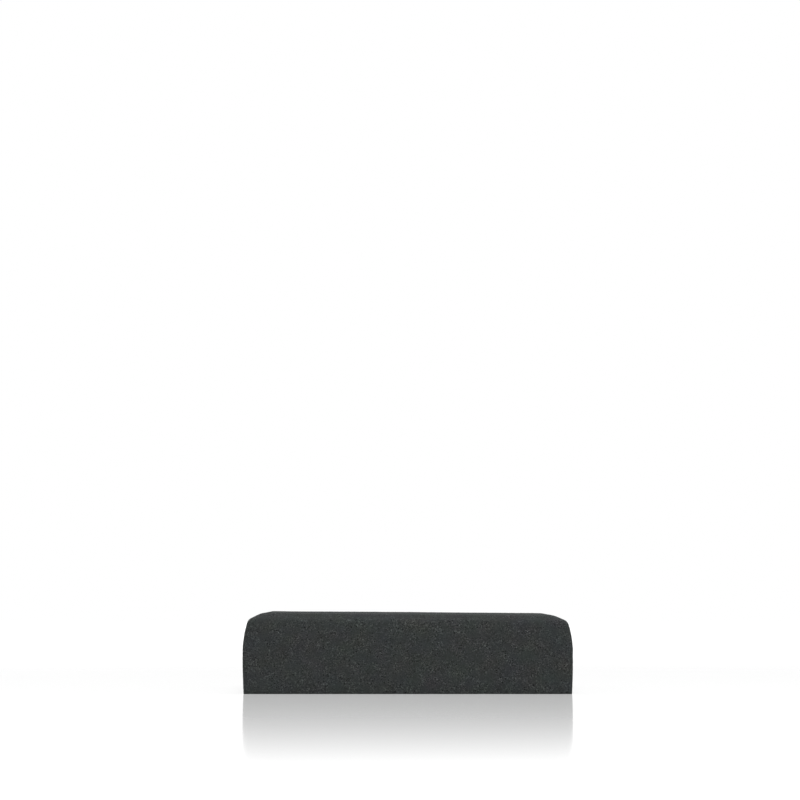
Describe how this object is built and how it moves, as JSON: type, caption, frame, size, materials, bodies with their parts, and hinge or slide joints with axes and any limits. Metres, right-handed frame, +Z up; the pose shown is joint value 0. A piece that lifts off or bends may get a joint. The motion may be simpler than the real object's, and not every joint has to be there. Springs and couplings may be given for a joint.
{
  "type": "speaker isolation pad",
  "caption": "Rectangular block of charcoal foam with a flat top, soft rounded upper edges and a flat underside, laid under a small loudspeaker to stop vibration reaching the desk.",
  "frame": {"origin": "middle of the underside, on the surface that the pad lies on", "axes": "+Z up through the thickness, +Y along the depth from front to back, +X across the width; the front face looks along -Y"},
  "size_m": [0.184, 0.241, 0.0445],
  "materials": {
    "charcoal_foam": "matt open-cell polyurethane foam"
  },
  "bodies": {
    "root": {"foam_pad": "charcoal_foam"}
  },
  "joints": []
}
